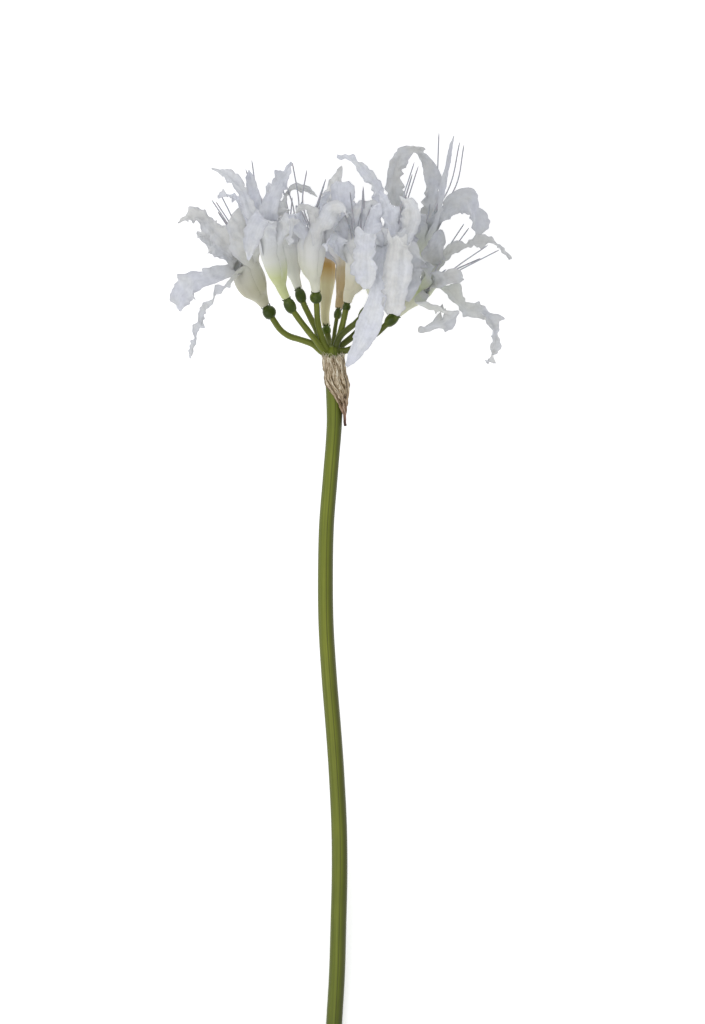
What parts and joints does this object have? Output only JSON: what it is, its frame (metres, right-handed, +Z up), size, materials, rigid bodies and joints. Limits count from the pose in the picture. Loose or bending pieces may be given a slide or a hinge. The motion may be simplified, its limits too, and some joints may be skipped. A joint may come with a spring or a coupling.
{
  "type": "nerine flower",
  "caption": "Cut nerine stem lying down: a smooth green scape with a papery spathe and an umbel of white flowers with waved, recurved tepals and long stamens",
  "frame": {"origin": "on the surface the stem lies on, under the middle of the part's box", "axes": "+Y along the stem from the cut end to the flower head, +Z up from the surface, +X across"},
  "size_m": [0.171, 0.4764, 0.1211],
  "materials": {
    "green_stem": "satin",
    "dry_spathe": "matte",
    "white_petal": "matte"
  },
  "bodies": {
    "root": {"scape": "green_stem", "spathe_front": "dry_spathe", "spathe_back": "dry_spathe", "bloom_01": "white_petal", "bloom_02": "white_petal", "bloom_03": "white_petal", "bloom_04": "white_petal", "bloom_05": "white_petal", "bloom_06": "white_petal", "bloom_07": "white_petal", "bloom_08": "white_petal", "bloom_09": "white_petal", "bloom_10": "white_petal"}
  },
  "joints": []
}
